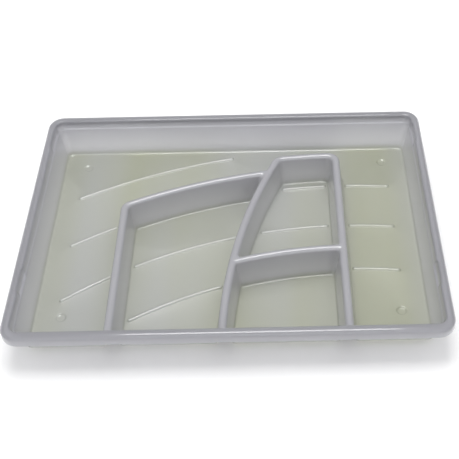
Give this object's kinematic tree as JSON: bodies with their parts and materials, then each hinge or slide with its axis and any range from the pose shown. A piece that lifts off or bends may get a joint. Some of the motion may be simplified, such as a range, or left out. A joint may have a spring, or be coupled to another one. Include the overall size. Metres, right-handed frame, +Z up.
{
  "type": "divided organiser tray",
  "caption": "Shallow translucent plastic tray with a broad rim, curved hollow dividers, floor beads, stacking lugs and small feet.",
  "frame": {"origin": "on the standing surface, under the middle of the rim's outline", "axes": "+X to the right along the long side, +Y to the back, away from the wall that leans more, +Z up"},
  "size_m": [0.4, 0.3, 0.045],
  "materials": {
    "frosted_polypropylene": "satin, translucent"
  },
  "bodies": {
    "root": {"floor_panel": "frosted_polypropylene", "front_wall": "frosted_polypropylene", "back_wall": "frosted_polypropylene", "left_wall": "frosted_polypropylene", "right_wall": "frosted_polypropylene", "rim_flange": "frosted_polypropylene", "rim_skirt": "frosted_polypropylene", "left_divider": "frosted_polypropylene", "right_divider": "frosted_polypropylene", "slanting_divider": "frosted_polypropylene", "curved_divider": "frosted_polypropylene", "upper_cell_divider": "frosted_polypropylene", "cross_divider": "frosted_polypropylene", "bead_back": "frosted_polypropylene", "bead_left_upper": "frosted_polypropylene", "bead_left_middle": "frosted_polypropylene", "bead_left_cell_middle": "frosted_polypropylene", "bead_left_cell_front": "frosted_polypropylene", "bead_upper_cell_back": "frosted_polypropylene", "bead_upper_cell_middle": "frosted_polypropylene", "bead_right_upper": "frosted_polypropylene", "bead_right_middle": "frosted_polypropylene", "bead_right_front": "frosted_polypropylene", "lug_left_back": "frosted_polypropylene", "lug_left_front": "frosted_polypropylene", "lug_right_back": "frosted_polypropylene", "lug_right_front": "frosted_polypropylene", "foot_left_back": "frosted_polypropylene", "foot_left_front": "frosted_polypropylene", "foot_right_back": "frosted_polypropylene", "foot_right_front": "frosted_polypropylene"}
  },
  "joints": []
}
